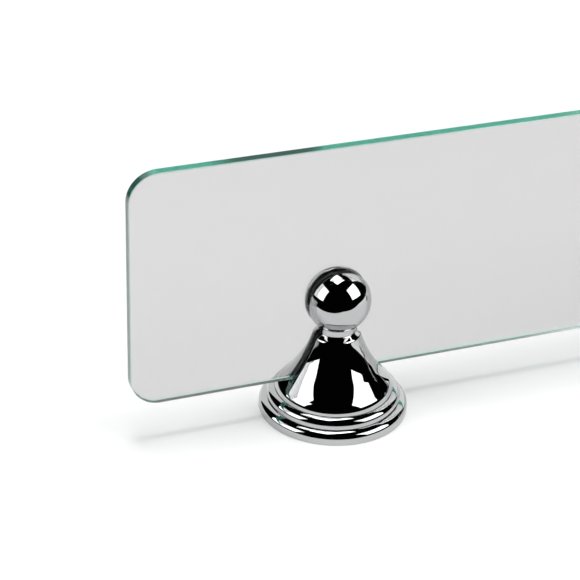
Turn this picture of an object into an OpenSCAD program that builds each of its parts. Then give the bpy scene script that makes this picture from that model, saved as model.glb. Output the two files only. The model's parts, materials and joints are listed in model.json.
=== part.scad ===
// Counter guard: an upright glass panel held in two slotted, ball-topped posts.
// Millimetres, +Z up. The origin is on the counter, midway between the posts.
// X runs along the panel and -Y is the front.

/* [Glass] */
// Length of the panel
glass_l = 600; // [480:10:900]
// Height of the panel
glass_h = 140; // [120:1:220]
// Thickness of the panel
glass_t = 6; // [5:0.5:8]
// Radius of the panel's four corners
glass_corner_r = 17; // [8:0.5:30]
// Width of the ground arris on every edge
glass_arris = 0.5; // [0.3:0.1:1]
// Height of the panel's bottom edge above the counter
glass_z = 23.5; // [22.5:0.5:28]

/* [Posts] */
// Distance from each end of the panel to its post
post_inset = 120; // [60:1:160]
// Radius of the ball
ball_r = 18.65; // [17:0.05:20]
// Height of the ball's centre
ball_z = 69.6; // [66:0.05:72]
// Distance of each ball half's centre from the middle plane
ball_spread = 1.1; // [0:0.1:2]
// Radius of the neck under the ball
neck_r = 11.1; // [9:0.1:12]
// Radius of the bell at its foot
bell_foot_r = 33.6; // [33:0.05:34.5]
// Gap between the panel and each wall of the slot
slot_gap = 1.5; // [0.5:0.1:2]

/* [Base] */
// Radius of the lower ring
ring_a_r = 42.2; // [41:0.1:46]
// Radius of the upper ring
ring_b_r = 37.9; // [36:0.1:38.4]
// Height at which the upper ring rises from the lower one
ring_a_h = 7.1; // [6.9:0.05:7.4]
// Height at which the bell rises from the upper ring
base_h = 13.13; // [13:0.01:13.4]
// Rounding of each ring's outer corner
ring_edge_r = 4; // [2:0.1:4.1]
// Rounding of each ring's top
ring_top_r = 7.2; // [4:0.1:7.5]
// Wall of the hollow base
base_wall = 3.6; // [3:0.1:4]

/* [Fixings] */
// Circle through the counter screw holes
screw_pcd = 36; // [32:1:40]
// Radius of a counter screw hole
screw_hole_r = 2.25; // [1.75:0.25:2.5]
// Number of counter screw holes in each post
screw_count = 3; // [3:1:4]
// Radius of the bolt that holds a post to its base
bolt_r = 4; // [3:0.5:4]
// Radius of the screw that tightens the clamp pad
clamp_r = 2.5; // [2:0.5:3]
// Height of the clamp screw
clamp_z = 33; // [31:0.5:36]
// Radius of the screw that locks the base to its plate
lock_r = 2; // [1.5:0.5:2]
// Radial clearance of a screw or spigot in its hole
run_gap = 0.05; // [0.05:0.01:0.08]

/* [Hidden] */
$fn = 96;
liner_t = slot_gap - 0.1;
slot_half = glass_t/2 + slot_gap;
slot_floor = glass_z - liner_t;
post_x = glass_l/2 - post_inset;
neck_z = 50.7;

// outline of the base from the counter up to the bell's foot: radius, height, rounding
RINGS = [
  [ring_a_r, 0, 0],
  [ring_a_r, ring_a_h - 2.22, ring_edge_r],
  [ring_a_r - 2.92, ring_a_h - 0.33, ring_top_r],
  [ring_b_r, ring_a_h, 0],
  [ring_b_r, base_h - 2.22, ring_edge_r],
  [ring_b_r - 2.92, base_h - 0.33, ring_top_r],
  [bell_foot_r, base_h, 0]
];

// bell outline from foot to neck: radius, height, rounding
BELL = [
  [bell_foot_r, base_h, 0],
  [bell_foot_r, 16.23, 7.8],
  [27.35, 22.35, 44],
  [17.1, 38.7, 70],
  [14.1, neck_z - 2.2, 2],
  [neck_r, neck_z, 1],
  [neck_r, ball_z - 14, 0]
];
arc_steps = 8;

// spigot, web and bolt
spigot_r = 8;
web_t = 3.2;
web_z = base_h - web_t;
washer_t = 1.6;
washer_r = 12;
bolt_head_h = 5.3;
bolt_head_r = 7.5;
bolt_head_z = web_z - washer_t - bolt_head_h;
bolt_tip_z = slot_floor - 2.6;
bolt_hole_z = slot_floor - 2;

// plate under each base
plate_r = 28;
plate_t = 3.5;
plate_hub_r = 28;
plate_hub_wall = 4;
plate_hub_h = 8.4;
plate_relief_r = 9;
groove_depth = 1.2;
countersink_r = 4.5;

// lock screw
lock_z = 4.8;
lock_in = plate_hub_r + 1;
lock_out = 39.6;
lock_boss_r = 4.6;
lock_tip_r = 0.6;

// clamp
pad_r = 3.5;
pad_t = 2;
pad_y = glass_t/2 + 0.05;
pocket_depth = pad_t + 1;
clamp_in = pad_y + pad_t;
clamp_out = 17.2;
socket_depth = 2.5;

// liners
liner_inset = 1.5;
liner_ball_r = ball_r - 3;
setting_pad_l = 44;
eps = 0.01;

// half width of the casting beside the slot, from the setting pad up into the ball
LINER_EDGE = [
  [25.4, slot_floor + liner_t], [18.3, 34.5], [12, 47], [8.2, 49.5], [8.2, ball_z - 7]
];

SIDES = ["left", "right"];

// ---- helpers

// moves a post's parts from the origin to their side of the panel
module at_post(side) {
  translate([side == "left" ? -post_x : post_x, 0, 0]) children();
}

// lays a part that is drawn along +Z down along +Y
module along_y(y, z) {
  translate([0, y, z]) rotate([-90, 0, 0]) children();
}

// a tube or disc with a hole through it
module washer(r, hole, h) {
  difference() {
    cylinder(r = r, h = h);
    translate([0, 0, -1]) cylinder(r = hole, h = h + 2);
  }
}

// points of the arc that rounds corner b between a and c
function unit(v) = v/norm(v);
function rounded(a, b, c, r) =
  r == 0 ? [b] :
  let (
    u = unit(a - b),
    v = unit(c - b),
    half = acos(max(-1, min(1, u*v)))/2,
    centre = b + unit(u + v)*r/sin(half),
    p = b + u*r/tan(half) - centre,
    q = b + v*r/tan(half) - centre,
    turn = 2*atan2(p.x*q.y - p.y*q.x, norm(p)*norm(q) + p*q)
  )
  [for (i = [0:arc_steps])
    let (t = turn*i/arc_steps)
    centre + [p.x*cos(t) - p.y*sin(t), p.x*sin(t) + p.y*cos(t)]];

function flat(p) = [p.x, p.y];
function outline(CORNERS) = [
  for (i = [0:len(CORNERS) - 1])
    for (q = i == 0 || i == len(CORNERS) - 1
        ? [flat(CORNERS[i])]
        : rounded(flat(CORNERS[i - 1]), flat(CORNERS[i]), flat(CORNERS[i + 1]), CORNERS[i].z))
      q
];

// ---- glass

// one slab of the panel; inset draws its outline in from the edge
module panel_slab(inset, t) {
  r = glass_corner_r - inset;
  l = glass_l - 2*inset;
  h = glass_h - 2*inset;
  translate([0, t/2, glass_z + glass_h/2]) rotate([90, 0, 0]) linear_extrude(t) {
    square([l - 2*r, h], center = true);
    square([l, h - 2*r], center = true);
    for (x = [-1, 1], z = [-1, 1])
      translate([x*(l/2 - r), z*(h/2 - r)]) circle(r = r);
  }
}

module glass_panel() {
  color([0.75, 0.88, 0.84, 0.5]) {
    panel_slab(0, glass_t - 2*glass_arris);
    panel_slab(glass_arris/2, glass_t - glass_arris);
    panel_slab(glass_arris, glass_t);
  }
}

// ---- post: bell, neck and ball in one casting, slotted from the top

module post_body(side) {
  color([0.78, 0.79, 0.8]) at_post(side) difference() {
    union() {
      rotate_extrude() polygon(concat([[0, base_h]], outline(BELL), [[0, ball_z - 14]]));
      for (way = [-1, 1]) translate([0, way*ball_spread, ball_z]) sphere(r = ball_r);
      translate([0, 0, web_z + 0.2]) cylinder(r = spigot_r, h = web_t);
    }
    translate([-60, -slot_half, slot_floor]) cube([120, 2*slot_half, 100]);
    cylinder(r = bolt_r, h = bolt_hole_z);
    along_y(slot_half - 1, clamp_z) cylinder(r = pad_r + 0.1, h = pocket_depth + 1);
    along_y(slot_half, clamp_z) cylinder(r = clamp_r + run_gap, h = 40);
  }
}

// ---- base: two rounded rings over a hollow

module base_rose(side) {
  hollow_a_r = ring_a_r - base_wall - 0.6;
  hollow_b_r = ring_b_r - base_wall;
  color([0.75, 0.76, 0.77]) at_post(side) difference() {
    union() {
      difference() {
        rotate_extrude() polygon(concat([[0, 0]], outline(RINGS), [[0, base_h]]));
        translate([0, 0, -1]) cylinder(r = hollow_a_r, h = ring_a_h - base_wall + 1);
        translate([0, 0, -1]) cylinder(r = hollow_b_r, h = web_z + 1);
      }
      along_y(lock_in + 1.5, lock_z) cylinder(r = lock_boss_r, h = hollow_b_r - lock_in - 1);
    }
    translate([0, 0, web_z - 1]) cylinder(r = spigot_r + run_gap, h = web_t + 2);
    along_y(lock_in, lock_z) cylinder(r = lock_r + run_gap, h = ring_a_r + 1 - lock_in);
  }
}

// ---- hidden fixings

module mounting_plate(side) {
  color([0.62, 0.63, 0.65]) at_post(side) difference() {
    union() {
      washer(plate_r, plate_relief_r, plate_t);
      difference() {
        washer(plate_hub_r, plate_hub_r - plate_hub_wall, plate_hub_h);
        rotate_extrude() polygon([
          [plate_hub_r - groove_depth, lock_z],
          [plate_hub_r + 1, lock_z - groove_depth - 1],
          [plate_hub_r + 1, lock_z + groove_depth + 1]
        ]);
      }
    }
    for (i = [0:screw_count - 1])
      rotate(90 + 360*i/screw_count) translate([screw_pcd/2, 0, 0]) {
        translate([0, 0, -1]) cylinder(r = screw_hole_r, h = plate_t + 2);
        translate([0, 0, plate_t - countersink_r + screw_hole_r])
          cylinder(r1 = screw_hole_r, r2 = countersink_r + eps, h = countersink_r - screw_hole_r + eps);
      }
  }
}

module post_bolt(side) {
  color([0.6, 0.6, 0.6]) at_post(side) {
    translate([0, 0, bolt_head_z]) cylinder(r = bolt_head_r, h = bolt_head_h, $fn = 6);
    translate([0, 0, bolt_head_z + bolt_head_h - eps])
      cylinder(r = bolt_r - run_gap, h = bolt_tip_z - bolt_head_z - bolt_head_h + eps);
  }
}

module bolt_washer(side) {
  color([0.68, 0.68, 0.68]) at_post(side)
    translate([0, 0, web_z - washer_t]) washer(washer_r, bolt_r + 0.2, washer_t);
}

module lock_screw(side) {
  color([0.4, 0.4, 0.42]) at_post(side) difference() {
    union() {
      along_y(lock_in, lock_z) cylinder(r = lock_r, h = lock_out - lock_in);
      along_y(lock_in - lock_r + lock_tip_r, lock_z)
        cylinder(r1 = lock_tip_r, r2 = lock_r, h = lock_r - lock_tip_r);
    }
    along_y(lock_out - socket_depth, lock_z) cylinder(r = lock_r*0.55, h = socket_depth + 1, $fn = 6);
  }
}

// ---- slot liners, setting pad and clamp

// a liner whose face towards the front is at y: a stem up the bell and a disc in the ball
module liner(y) {
  n = len(LINER_EDGE);
  translate([0, y + liner_t, 0]) rotate([90, 0, 0]) {
    linear_extrude(liner_t) polygon([
      for (i = [0:2*n - 1])
        let (p = LINER_EDGE[i < n ? i : 2*n - 1 - i])
        [(i < n ? -1 : 1)*(p.x - liner_inset), p.y]
    ]);
    translate([0, ball_z, 0]) cylinder(r = liner_ball_r, h = liner_t);
  }
}

module front_liner(side) {
  color([0.12, 0.13, 0.13]) at_post(side) liner(-slot_half);
}

module rear_liner(side) {
  color([0.12, 0.13, 0.13]) at_post(side) difference() {
    liner(slot_half - liner_t);
    along_y(0, clamp_z) cylinder(r = pad_r + 0.3, h = 2*slot_half);
  }
}

module setting_pad(side) {
  color([0.12, 0.13, 0.13]) at_post(side)
    translate([-setting_pad_l/2, -slot_half + eps, slot_floor])
      cube([setting_pad_l, 2*slot_half - 2*eps, liner_t]);
}

module clamp_pad(side) {
  color([0.92, 0.91, 0.88]) at_post(side) along_y(pad_y, clamp_z) cylinder(r = pad_r, h = pad_t);
}

module clamp_screw(side) {
  color([0.4, 0.4, 0.42]) at_post(side) difference() {
    along_y(clamp_in, clamp_z) cylinder(r = clamp_r, h = clamp_out - clamp_in);
    along_y(clamp_out - socket_depth, clamp_z)
      cylinder(r = clamp_r*0.55, h = socket_depth + 1, $fn = 6);
  }
}

glass_panel();
for (side = SIDES) {
  post_body(side);
  base_rose(side);
  mounting_plate(side);
  post_bolt(side);
  bolt_washer(side);
  lock_screw(side);
  front_liner(side);
  rear_liner(side);
  setting_pad(side);
  clamp_pad(side);
  clamp_screw(side);
}
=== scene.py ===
"""Looks for the counter guard: a clear glass panel in two chrome posts, on a pale floor under soft lights."""

import json
import math

import bmesh
import bpy
from mathutils import Matrix, Vector


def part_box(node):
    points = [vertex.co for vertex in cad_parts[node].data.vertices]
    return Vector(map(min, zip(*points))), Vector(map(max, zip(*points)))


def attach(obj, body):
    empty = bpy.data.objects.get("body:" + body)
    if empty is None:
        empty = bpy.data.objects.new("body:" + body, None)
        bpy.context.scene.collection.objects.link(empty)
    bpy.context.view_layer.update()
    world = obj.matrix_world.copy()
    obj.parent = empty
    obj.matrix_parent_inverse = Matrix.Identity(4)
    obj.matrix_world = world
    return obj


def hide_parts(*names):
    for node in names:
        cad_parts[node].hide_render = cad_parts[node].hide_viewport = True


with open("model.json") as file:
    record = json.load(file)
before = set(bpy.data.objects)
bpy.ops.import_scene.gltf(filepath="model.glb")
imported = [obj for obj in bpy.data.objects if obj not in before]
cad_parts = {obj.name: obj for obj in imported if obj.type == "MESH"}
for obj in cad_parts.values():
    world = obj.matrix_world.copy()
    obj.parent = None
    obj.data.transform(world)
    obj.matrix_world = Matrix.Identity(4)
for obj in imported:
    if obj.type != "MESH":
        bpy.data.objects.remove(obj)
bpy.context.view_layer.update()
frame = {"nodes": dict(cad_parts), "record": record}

MM = 0.001
UP = Vector((0, 0, 1))

# ---- sizes taken from the frame

glass_low, glass_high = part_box("glass_panel")
rose_low, rose_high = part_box("left_base_rose")
post_x = (rose_high.x + rose_low.x) / 2
sides = {"left": post_x, "right": -post_x}

# ---- profiles, in millimetres, as in the CAD

RING_A_R = 42.2
RING_B_R = 37.9
RING_A_TOP = 7.1
RING_SIDE_DROP = 2.22
RING_EDGE_ROUND = 4.0
RING_TOP_IN = 2.92
RING_TOP_DROP = 0.33
RING_TOP_ROUND = 7.2
BASE_TOP = 13.13
RING_A_WALL = 4.2
RING_B_WALL = 3.6
WEB_T = 3.2
SPIGOT_HOLE_R = 8.05
LOCK_Z = 4.8
LOCK_HOLE_R = 2.05
CLAMP_Z = 33.0
CLAMP_HOLE_R = 2.55
PAD_POCKET_R = 3.6
FOOT_R = 33.6
BALL_Z = 69.6
BALL_R = 18.65
BALL_SPREAD = 1.1
BALL_FOOT_R = 9.0
NECK_R = 11.1
NECK_Z = 50.7
NECK_TOP = BALL_Z - 14
SLOT_HALF = 4.5
SLOT_FLOOR = 22.1
CUT_EDGE = 0.45
SEGMENTS = 192


def rounded(points, steps=16):
    """(radius, height, rounding) corners as a dense outline with true arcs."""
    dense = []
    last = len(points) - 1
    for i, (r, z, rounding) in enumerate(points):
        corner = Vector((r, z))
        if rounding == 0 or i in (0, last):
            dense.append(corner)
            continue
        u = (Vector(points[i - 1][:2]) - corner).normalized()
        v = (Vector(points[i + 1][:2]) - corner).normalized()
        half = u.angle(v) / 2
        centre = corner + (u + v).normalized() * rounding / math.sin(half)
        start = corner + u * rounding / math.tan(half) - centre
        end = corner + v * rounding / math.tan(half) - centre
        turn = math.atan2(start.x * end.y - start.y * end.x, start.dot(end))
        for k in range(steps + 1):
            dense.append(centre + Matrix.Rotation(turn * k / steps, 2) @ start)
    return dense


def filled(points, longest):
    """An outline with every stretch longer than longest split into equal parts."""
    out = [points[0]]
    for a, b in zip(points, points[1:]):
        parts = max(1, math.ceil((b - a).length / longest))
        out += [a.lerp(b, k / parts) for k in range(1, parts + 1)]
    return out


def new_object(name, bm):
    """A mesh object in metres from a bmesh built in millimetres."""
    mesh = bpy.data.meshes.new(name)
    bmesh.ops.scale(bm, vec=(MM, MM, MM), verts=bm.verts)
    bm.to_mesh(mesh)
    bm.free()
    obj = bpy.data.objects.new(name, mesh)
    bpy.context.scene.collection.objects.link(obj)
    return obj


def soften(obj, angle=35):
    """Smooth shading, broken at corners sharper than the angle."""
    mesh = obj.data
    mesh.polygons.foreach_set("use_smooth", [True] * len(mesh.polygons))
    mesh.set_sharp_from_angle(angle=math.radians(angle))


def drill(obj, x, z, r, near, far):
    """Cuts a round hole along +Y, from near to far in millimetres."""
    bm = bmesh.new()
    depth = far - near
    place = Matrix.Translation((x / MM, (near + far) / 2, z)) @ Matrix.Rotation(math.pi / 2, 4, "X")
    bmesh.ops.create_cone(bm, cap_ends=True, segments=48, radius1=r, radius2=r, depth=depth, matrix=place)
    cutter = new_object("cutter", bm)
    cut = obj.modifiers.new("cut", "BOOLEAN")
    cut.object = cutter
    cut.solver = "EXACT"
    shape = obj.evaluated_get(bpy.context.evaluated_depsgraph_get())
    mesh = bpy.data.meshes.new_from_object(shape)
    obj.modifiers.clear()
    obj.data = mesh
    bpy.data.objects.remove(cutter)


def lathe(outline, x):
    """A closed solid turned about the vertical line at x, from an outline that closes on itself."""
    bm = bmesh.new()
    rings = []
    for p in outline:
        turn = [2 * math.pi * k / SEGMENTS for k in range(SEGMENTS)]
        rings.append([bm.verts.new((x + p.x * math.cos(t), p.x * math.sin(t), p.y)) for t in turn])
    for low, high in zip(rings, rings[1:]):
        bridge(bm, low, high)
    bridge(bm, rings[-1], rings[0])
    return bm


def bridge(bm, low, high):
    """The strip of faces between two closed rings with the same number of points."""
    for k in range(len(low)):
        j = (k + 1) % len(low)
        bm.faces.new((low[k], low[j], high[j], high[k]))


# ---- base rose: two stepped, rounded rings over a hollow


def ring(r, foot, top):
    """One ring's corners: its straight side, its rounded edge and its gentler top."""
    return [
        (r, foot, 0),
        (r, top - RING_SIDE_DROP, RING_EDGE_ROUND),
        (r - RING_TOP_IN, top - RING_TOP_DROP, RING_TOP_ROUND),
    ]


RINGS = ring(RING_A_R, 0, RING_A_TOP) + ring(RING_B_R, RING_A_TOP, BASE_TOP) + [
    (FOOT_R, BASE_TOP, 0),
    (SPIGOT_HOLE_R, BASE_TOP, 0),
]
HOLLOW = [
    (SPIGOT_HOLE_R, BASE_TOP - WEB_T),
    (RING_B_R - RING_B_WALL, BASE_TOP - WEB_T),
    (RING_B_R - RING_B_WALL, RING_A_TOP - RING_B_WALL),
    (RING_A_R - RING_A_WALL, RING_A_TOP - RING_B_WALL),
    (RING_A_R - RING_A_WALL, 0),
]
LOCK_CUT = (29, 44)


def make_rose(side, x):
    outline = rounded(RINGS) + [Vector(p) for p in HOLLOW]
    bm = lathe(filled(outline, longest=1.5), x / MM)
    rose = new_object(f"{side}_rose_skin", bm)
    drill(rose, x, LOCK_Z, LOCK_HOLE_R, *LOCK_CUT)
    soften(rose)
    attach(rose, "posts")
    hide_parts(f"{side}_base_rose")
    return rose


# ---- post body: bell, neck and ball, slotted for the panel, with softened slot edges

BELL = [
    (FOOT_R, BASE_TOP, 0),
    (FOOT_R, 16.23, 7.8),
    (27.35, 22.35, 44),
    (17.1, 38.7, 70),
    (14.1, NECK_Z - 2.2, 2.0),
    (NECK_R, NECK_Z, 1.0),
    (NECK_R, NECK_TOP, 0),
]
BALL_STEPS = 48
FLOOR_MARGIN = 0.05
CLAMP_CUT = (SLOT_HALF + 1, 30)
POCKET_CUT = (SLOT_HALF - 1, SLOT_HALF + 3)


def post_profile():
    """The bell and neck's outline up into the ball."""
    return filled(rounded(BELL), longest=0.8)


def normal_rows(outline):
    """(radius, height, normal's elevation) rows, doubled where the outline has a sharp corner."""
    rows = []
    for i, p in enumerate(outline):
        before = (p - outline[i - 1]) if i else None
        after = (outline[i + 1] - p) if i + 1 < len(outline) else None
        elevations = [math.atan2(-d.x, d.y) for d in (before, after) if d is not None]
        if len(elevations) == 2 and abs(elevations[0] - elevations[1]) < math.radians(20):
            elevations = [sum(elevations) / 2]
        rows += [(p.x, p.y, a) for a in elevations]
    return rows


def bell_rows():
    """Rows of the bell and neck's surface above the slot's floor."""
    outline = [p for p in post_profile() if p.y > SLOT_FLOOR + FLOOR_MARGIN]
    below = [p for p in post_profile() if p.y <= SLOT_FLOOR + FLOOR_MARGIN][-1]
    first = outline[0]
    at_floor = below.lerp(first, (SLOT_FLOOR - below.y) / (first.y - below.y))
    return normal_rows([at_floor] + outline)


def ball_rows():
    """Rows of the ball's surface, from inside the neck up to where the cut reaches the top."""
    start = -math.acos(BALL_FOOT_R / BALL_R)
    end = math.acos((SLOT_HALF - BALL_SPREAD + CUT_EDGE) / (BALL_R - CUT_EDGE))
    rows = []
    for k in range(BALL_STEPS + 1):
        a = start + (end - start) * math.sin(math.pi / 2 * k / BALL_STEPS)
        rows.append((BALL_R * math.cos(a), BALL_Z + BALL_R * math.sin(a), a))
    return rows


ARC = 72
EDGE_STEPS = 5
EASE_H = 5


def half_row(bm, x, row, spread, way):
    """One row round a half of the post: wall corner, soft edge, outer arc, soft edge, wall corner.

    The soft edge leans with the surface, and stands upright near the slot's floor.
    """
    r, z, elevation = row
    ease = min(1, max(0, (z - SLOT_FLOOR) / EASE_H))
    tilt = elevation * ease * ease * (3 - 2 * ease)
    rise = min(1, (SLOT_HALF - spread + CUT_EDGE) / (r - CUT_EDGE * math.cos(tilt)))
    first = math.asin(rise)
    points = []
    for end in (first, math.pi - first):
        n = Vector((math.cos(end) * math.cos(tilt), math.sin(end) * math.cos(tilt), math.sin(tilt)))
        centre = Vector((r * math.cos(end), r * math.sin(end), z)) - n * CUT_EDGE
        steps = [n.slerp(Vector((0, -1, 0)), k / EDGE_STEPS) for k in range(EDGE_STEPS + 1)]
        points.append([centre + s * CUT_EDGE for s in steps])
    turn = [first + (math.pi - 2 * first) * k / ARC for k in range(1, ARC)]
    outer = [Vector((r * math.cos(t), r * math.sin(t), z)) for t in turn]
    path = points[0][::-1] + outer + points[1]
    return [bm.verts.new((x + p.x, way * (p.y + spread), p.z)) for p in path]


def half_shell(bm, x, rows, spread, way):
    """The strip of faces through the rows of one half; returns its lowest and highest row."""
    grid = [half_row(bm, x, row, spread, way) for row in rows]
    for low, high in zip(grid, grid[1:]):
        bridge(bm, low, high)
    return grid[0], grid[-1]


def make_post(side, x):
    bm = bmesh.new()
    x_mm = x / MM
    halves = {}
    for way in (-1, 1):
        halves[way], neck_top = half_shell(bm, x_mm, bell_rows(), 0, way)
        bm.faces.new(neck_top)
    lower_part(bm, x_mm, bell_rows()[0][0], halves)
    bmesh.ops.recalc_face_normals(bm, faces=bm.faces)
    post = new_object(f"{side}_post_skin", bm)
    drill(post, x, CLAMP_Z, CLAMP_HOLE_R, *CLAMP_CUT)
    drill(post, x, CLAMP_Z, PAD_POCKET_R, *POCKET_CUT)
    add_ball(post, x_mm)
    soften(post)
    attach(post, "posts")
    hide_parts(f"{side}_post_body")
    return post


def add_ball(post, x):
    """Adds the two halves of the ball to the post's mesh."""
    bm = bmesh.new()
    for way in (-1, 1):
        ball_foot, _ = half_shell(bm, x, ball_rows(), BALL_SPREAD, way)
        bm.faces.new(ball_foot)
    bmesh.ops.remove_doubles(bm, verts=bm.verts, dist=1e-4)
    bmesh.ops.recalc_face_normals(bm, faces=bm.faces)
    bmesh.ops.scale(bm, vec=(MM, MM, MM), verts=bm.verts)
    bm.from_mesh(post.data)
    bm.to_mesh(post.data)
    bm.free()


# parts of the bell's arc across each open end of the slot
MOUTH = 10


def lower_part(bm, x, r, halves):
    """The solid bell under the slot, with the slot's floor on top."""
    back, front = halves[1], halves[-1]
    arc = slice(EDGE_STEPS, EDGE_STEPS + ARC + 1)
    first = math.asin((SLOT_HALF + CUT_EDGE) / (r - CUT_EDGE))
    span = [-first + 2 * first * k / MOUTH for k in range(1, MOUTH)]
    right = [bm.verts.new((x + r * math.cos(t), r * math.sin(t), SLOT_FLOOR)) for t in span]
    left = [bm.verts.new((x - r * math.cos(t), r * math.sin(t), SLOT_FLOOR)) for t in span]
    loop = right + back[arc] + left[::-1] + front[arc][::-1]
    corner = EDGE_STEPS
    floor = (
        front[:corner + 1] + right + back[:corner + 1][::-1]
        + back[-corner - 1:][::-1] + left[::-1] + front[-corner - 1:]
    )
    bm.faces.new(floor)
    outline = [p for p in post_profile() if p.y < SLOT_FLOOR - FLOOR_MARGIN][::-1]
    for p in outline:
        lower = []
        for v in loop:
            flat = Vector((v.co.x - x, v.co.y)).normalized() * p.x
            lower.append(bm.verts.new((x + flat.x, flat.y, p.y)))
        bridge(bm, loop, lower)
        loop = lower
    bm.faces.new(loop)


# ---- glass panel with round corners and a ground arris

GLASS_CORNER = 17.0
GLASS_ARRIS = 0.5
CORNER_STEPS = 32


def panel_loop(inset, y, bm):
    """The panel's outline, drawn in by inset, at depth y."""
    low, high = glass_low / MM, glass_high / MM
    r = GLASS_CORNER - inset
    loop = []
    for quarter, (cx, cz) in enumerate((
        (high.x - GLASS_CORNER, high.z - GLASS_CORNER),
        (low.x + GLASS_CORNER, high.z - GLASS_CORNER),
        (low.x + GLASS_CORNER, low.z + GLASS_CORNER),
        (high.x - GLASS_CORNER, low.z + GLASS_CORNER),
    )):
        for k in range(CORNER_STEPS + 1):
            t = math.pi / 2 * (quarter + k / CORNER_STEPS)
            loop.append(bm.verts.new((cx + r * math.cos(t), y, cz + r * math.sin(t))))
    return loop


def make_panel():
    bm = bmesh.new()
    half = (glass_high.y - glass_low.y) / 2 / MM
    loops = [
        panel_loop(GLASS_ARRIS, -half, bm),
        panel_loop(0, -half + GLASS_ARRIS, bm),
        panel_loop(0, half - GLASS_ARRIS, bm),
        panel_loop(GLASS_ARRIS, half, bm),
    ]
    for near, far in zip(loops, loops[1:]):
        bridge(bm, near, far)
    bm.faces.new(loops[0])
    bm.faces.new(loops[-1])
    bmesh.ops.recalc_face_normals(bm, faces=bm.faces)
    panel = new_object("panel_glass", bm)
    soften(panel, 30)
    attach(panel, "panel")
    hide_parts("glass_panel")
    return panel


# ---- materials

def new_material(name):
    material = bpy.data.materials.new(name)
    material.use_nodes = True
    nodes = material.node_tree.nodes
    shader = nodes["Principled BSDF"]
    return material, nodes, material.node_tree.links, shader


def noise(nodes, links, scale, detail, stretch=(1, 1, 1)):
    """Object-space noise, with its grain stretched along the axes."""
    coords = nodes.new("ShaderNodeTexCoord")
    mapping = nodes.new("ShaderNodeMapping")
    mapping.inputs["Scale"].default_value = stretch
    texture = nodes.new("ShaderNodeTexNoise")
    texture.inputs["Scale"].default_value = scale
    texture.inputs["Detail"].default_value = detail
    links.new(coords.outputs["Object"], mapping.inputs["Vector"])
    links.new(mapping.outputs["Vector"], texture.inputs["Vector"])
    return texture.outputs["Fac"]


def spread(nodes, links, value, low, high):
    """A 0 to 1 value spread over low to high."""
    scaled = nodes.new("ShaderNodeMapRange")
    scaled.inputs["To Min"].default_value = low
    scaled.inputs["To Max"].default_value = high
    links.new(value, scaled.inputs["Value"])
    return scaled.outputs["Result"]


def two_tones(nodes, links, value, dark, light):
    ramp = nodes.new("ShaderNodeValToRGB")
    ramp.color_ramp.elements[0].color = (*dark, 1)
    ramp.color_ramp.elements[0].position = 0.3
    ramp.color_ramp.elements[1].color = (*light, 1)
    ramp.color_ramp.elements[1].position = 0.7
    links.new(value, ramp.inputs["Fac"])
    return ramp.outputs["Color"]


def bump(nodes, links, value, shader, strength, distance):
    node = nodes.new("ShaderNodeBump")
    node.inputs["Strength"].default_value = strength
    node.inputs["Distance"].default_value = distance
    links.new(value, node.inputs["Height"])
    links.new(node.outputs["Normal"], shader.inputs["Normal"])


def chrome_material():
    material, nodes, links, shader = new_material("chrome_plate")
    shader.inputs["Metallic"].default_value = 1.0
    cloud = noise(nodes, links, 60, 3)
    tones = two_tones(nodes, links, cloud, (0.485, 0.49, 0.495), (0.505, 0.51, 0.515))
    links.new(tones, shader.inputs["Base Color"])
    links.new(spread(nodes, links, noise(nodes, links, 220, 4), 0.012, 0.03), shader.inputs["Roughness"])
    return material


def glass_material():
    """Clear faces tinted grey, which darkens the paper seen through them, and green ground edges.

    The square of the normal's Y tells them apart: it is 1 on the faces and 0 on the rim.
    """
    material, nodes, links, shader = new_material("float_glass")
    shader.inputs["IOR"].default_value = 1.52
    facing = nodes.new("ShaderNodeSeparateXYZ")
    links.new(nodes.new("ShaderNodeTexCoord").outputs["Normal"], facing.inputs["Vector"])
    face = nodes.new("ShaderNodeMath")
    face.operation = "MULTIPLY"
    links.new(facing.outputs["Y"], face.inputs[0])
    links.new(facing.outputs["Y"], face.inputs[1])
    # grey on the faces darkens the paper seen through them; green on the ground edges
    tint = two_tones(nodes, links, face.outputs["Value"], (0.17, 0.58, 0.46), (0.682, 0.661, 0.667))
    links.new(tint, shader.inputs["Base Color"])
    links.new(spread(nodes, links, face.outputs["Value"], 0.14, 0.0), shader.inputs["Roughness"])
    links.new(spread(nodes, links, face.outputs["Value"], 0.88, 1.0), shader.inputs["Transmission Weight"])
    depth = nodes.new("ShaderNodeVolumeAbsorption")
    depth.inputs["Color"].default_value = (0.45, 0.86, 0.76, 1)
    depth.inputs["Density"].default_value = 10.0
    links.new(depth.outputs["Volume"], nodes["Material Output"].inputs["Volume"])
    return material


def steel_material(name, dark, light, rough):
    material, nodes, links, shader = new_material(name)
    shader.inputs["Metallic"].default_value = 1.0
    grain = noise(nodes, links, 300, 5, (1, 1, 12))
    links.new(two_tones(nodes, links, grain, dark, light), shader.inputs["Base Color"])
    links.new(spread(nodes, links, grain, rough - 0.06, rough + 0.08), shader.inputs["Roughness"])
    bump(nodes, links, grain, shader, 0.15, 0.0001)
    return material


def rubber_material():
    material, nodes, links, shader = new_material("neoprene")
    grain = noise(nodes, links, 900, 6)
    tones = two_tones(nodes, links, grain, (0.04, 0.048, 0.046), (0.08, 0.09, 0.088))
    links.new(tones, shader.inputs["Base Color"])
    links.new(spread(nodes, links, grain, 0.62, 0.8), shader.inputs["Roughness"])
    bump(nodes, links, grain, shader, 0.4, 0.0001)
    return material


def nylon_material():
    material, nodes, links, shader = new_material("nylon")
    grain = noise(nodes, links, 500, 4)
    tones = two_tones(nodes, links, grain, (0.78, 0.77, 0.72), (0.86, 0.85, 0.81))
    links.new(tones, shader.inputs["Base Color"])
    links.new(spread(nodes, links, grain, 0.38, 0.5), shader.inputs["Roughness"])
    bump(nodes, links, grain, shader, 0.2, 0.0001)
    return material


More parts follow.
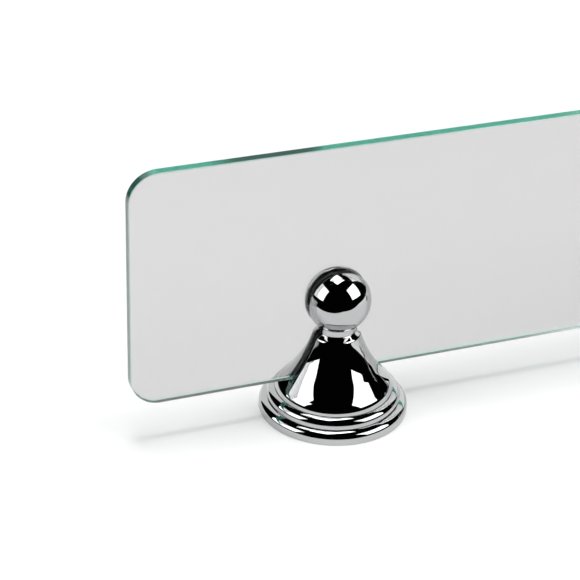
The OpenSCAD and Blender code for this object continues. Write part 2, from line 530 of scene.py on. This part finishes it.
MATERIALS = {
    "glass": glass_material(),
    "chrome": chrome_material(),
    "steel": steel_material("zinc_plate", (0.5, 0.51, 0.52), (0.66, 0.67, 0.68), 0.3),
    "screw": steel_material("black_oxide", (0.05, 0.05, 0.055), (0.1, 0.1, 0.105), 0.38),
    "rubber": rubber_material(),
    "nylon": nylon_material(),
}


def paint(obj, slot):
    """Puts a slot's material on every face of a piece."""
    if not obj.data.materials:
        obj.data.materials.append(None)
    for k in range(len(obj.data.materials)):
        obj.data.materials[k] = MATERIALS[slot]


for part in frame["record"]["subparts"]:
    paint(frame["nodes"][part["node"]], part["material_slot"])
for side, x in sides.items():
    paint(make_rose(side, x), "chrome")
    paint(make_post(side, x), "chrome")
paint(make_panel(), "glass")

# ---- camera: turned from +Y towards +X, tipped down, rolled a little

CAMERA_PLACE = Vector((-0.558344, -0.893493, 0.627537))
CAMERA_TURN = math.radians(21.4006)
CAMERA_DROP = math.radians(29.714)
CAMERA_ROLL = math.radians(1.7724)
CAMERA_LENS = 125.64
CAMERA_SENSOR = 36


def make_camera():
    camera = bpy.data.objects.new("camera", bpy.data.cameras.new("camera"))
    bpy.context.scene.collection.objects.link(camera)
    flat = math.cos(CAMERA_DROP)
    ahead = Vector((flat * math.sin(CAMERA_TURN), flat * math.cos(CAMERA_TURN), -math.sin(CAMERA_DROP)))
    level = ahead.cross(UP).normalized()
    above = level.cross(ahead)
    right = level * math.cos(CAMERA_ROLL) + above * math.sin(CAMERA_ROLL)
    upright = above * math.cos(CAMERA_ROLL) - level * math.sin(CAMERA_ROLL)
    turn = Matrix((right, upright, -ahead)).transposed().to_4x4()
    camera.matrix_world = Matrix.Translation(CAMERA_PLACE) @ turn
    camera.data.lens = CAMERA_LENS
    camera.data.sensor_width = CAMERA_SENSOR
    camera.data.clip_start = 0.01
    bpy.context.scene.camera = camera


make_camera()

# ---- stage: white paper under and behind the guard, in line with the camera

STAGE_ORIGIN = Vector((post_x, 0, 0))
TOWARDS = Vector((-math.sin(CAMERA_TURN), -math.cos(CAMERA_TURN), 0))
ACROSS = Vector((math.cos(CAMERA_TURN), -math.sin(CAMERA_TURN), 0))


def stage_point(across, towards, up=0.0):
    """A place measured from the left post: metres to the camera's right, towards the camera, and up."""
    return STAGE_ORIGIN + ACROSS * across + TOWARDS * towards + UP * up


def flat_material(name, colour, glow=0.0):
    material, nodes, links, shader = new_material(name)
    shader.inputs["Base Color"].default_value = (*colour, 1)
    shader.inputs["Roughness"].default_value = 0.9
    shader.inputs["Specular IOR Level"].default_value = 0.0
    shader.inputs["Emission Color"].default_value = (1, 1, 1, 1)
    shader.inputs["Emission Strength"].default_value = glow
    return material


def make_sheet(name, corners, material):
    mesh = bpy.data.meshes.new(name)
    mesh.from_pydata(corners, [], [list(range(len(corners)))])
    mesh.materials.append(material)
    obj = bpy.data.objects.new(name, mesh)
    bpy.context.scene.collection.objects.link(obj)
    return obj


def paper_material():
    """White paper that glows more with its distance from the left post, where the lights fade."""
    material = flat_material("white_paper", (0.7, 0.7, 0.7))
    nodes, links = material.node_tree.nodes, material.node_tree.links
    distance = nodes.new("ShaderNodeVectorMath")
    distance.operation = "DISTANCE"
    distance.inputs[1].default_value = STAGE_ORIGIN
    links.new(nodes.new("ShaderNodeTexCoord").outputs["Object"], distance.inputs[0])
    glow = nodes.new("ShaderNodeMapRange")
    for socket, number in {"From Min": 0.5, "From Max": 2.0, "To Min": 0.1, "To Max": 0.8}.items():
        glow.inputs[socket].default_value = number
    links.new(distance.outputs["Value"], glow.inputs["Value"])
    links.new(glow.outputs["Result"], nodes["Principled BSDF"].inputs["Emission Strength"])
    return material


make_sheet("floor", [
    stage_point(-0.5, -0.14),
    stage_point(-0.36, 0.06),
    stage_point(-0.19, 0.15),
    stage_point(-0.02, 0.225),
    stage_point(0.09, 0.305),
    stage_point(0.25, 0.285),
    stage_point(2.4, 0.66),
    stage_point(3.0, -1.2),
    stage_point(-0.9, -1.2),
], paper_material())

# bright sheets behind, which the chrome and the glass mirror and the camera doesn't see:
# each has its glow and its corners as (across, up)
BACKDROPS = {
    "backdrop_left": (0.95, [(-1.2, 0), (-0.3, 0), (-0.3, 1.8), (-1.2, 1.8)]),
    "backdrop_middle": (0.2, [(-0.3, 0), (0.3, 0), (0.3, 1.5), (-0.3, 1.5)]),
    "backdrop_right": (1.1, [(0.3, 0), (1.3, 0.15), (1.45, 0.9), (0.9, 1.7), (0.3, 1.7)]),
}
BACKDROP_TOWARDS = -1.2
for name, (glow, corners) in BACKDROPS.items():
    outline = [stage_point(across, BACKDROP_TOWARDS, up) for across, up in corners]
    sheet = make_sheet(name, outline, flat_material(f"{name}_glow", (0.05, 0.05, 0.05), glow))
    sheet.visible_camera = False

# a pale disc under the paper, seen only directly and through the glass
SURROUND_R = 6.0
SURROUND_DROP = 0.004
SURROUND_CORNERS = 48
surround = make_sheet("surround", [
    stage_point(SURROUND_R * math.cos(t), SURROUND_R * math.sin(t), -SURROUND_DROP)
    for t in (2 * math.pi * k / SURROUND_CORNERS for k in range(SURROUND_CORNERS))
], flat_material("surround_glow", (0.2, 0.2, 0.2), 1.0))
surround.visible_glossy = False
surround.visible_diffuse = False
surround.visible_shadow = False

# ---- lights: a softbox each side, one overhead that the chrome mirrors, and one over the panel

LIGHT_TARGET = Vector((post_x, 0, BALL_Z * MM))


def softbox(name, direction, distance, width, height, radiance, spin=0.0):
    """An area light facing the left post's ball, of a given radiance."""
    data = bpy.data.lights.new(name, "AREA")
    data.shape = "RECTANGLE"
    data.size = width
    data.size_y = height
    data.energy = radiance * math.pi * width * height
    lamp = bpy.data.objects.new(name, data)
    bpy.context.scene.collection.objects.link(lamp)
    away = Vector(direction).normalized()
    lamp.matrix_world = (
        Matrix.Translation(LIGHT_TARGET + away * distance)
        @ away.to_track_quat("Z", "Y").to_matrix().to_4x4()
        @ Matrix.Rotation(math.radians(spin), 4, "Z")
    )
    return lamp


def aim(turn, rise):
    """A direction turned from the camera's side about the vertical and raised, in degrees."""
    a, e = math.radians(turn), math.radians(rise)
    return (TOWARDS * math.cos(a) + ACROSS * math.sin(a)) * math.cos(e) + UP * math.sin(e)


SOFTBOX_DISTANCE = 1.3
softbox("left_softbox", aim(-78, 28.8), SOFTBOX_DISTANCE, width=1.08, height=0.9, radiance=2.9, spin=6)
softbox("right_softbox", aim(74.3, 35.8), SOFTBOX_DISTANCE, width=0.91, height=0.88, radiance=3.0, spin=-7)
overhead = softbox("top_softbox", aim(-158, 78.3), SOFTBOX_DISTANCE, width=0.65, height=0.69, radiance=5.0,
                   spin=24)
overhead.visible_diffuse = False
panel_light = softbox("panel_light", UP, 2 * SOFTBOX_DISTANCE, width=1.0, height=1.0, radiance=20.0)
panel_light.visible_glossy = False

world = bpy.data.worlds.new("studio")
bpy.context.scene.world = world
world.use_nodes = True
world.node_tree.nodes["Background"].inputs["Color"].default_value = (0.001, 0.001, 0.001, 1)

# ---- light paths long enough for the panel's edges

scene = bpy.context.scene
scene.cycles.max_bounces = 48
scene.cycles.transmission_bounces = 48
scene.cycles.glossy_bounces = 24
scene.view_settings.view_transform = "Standard"
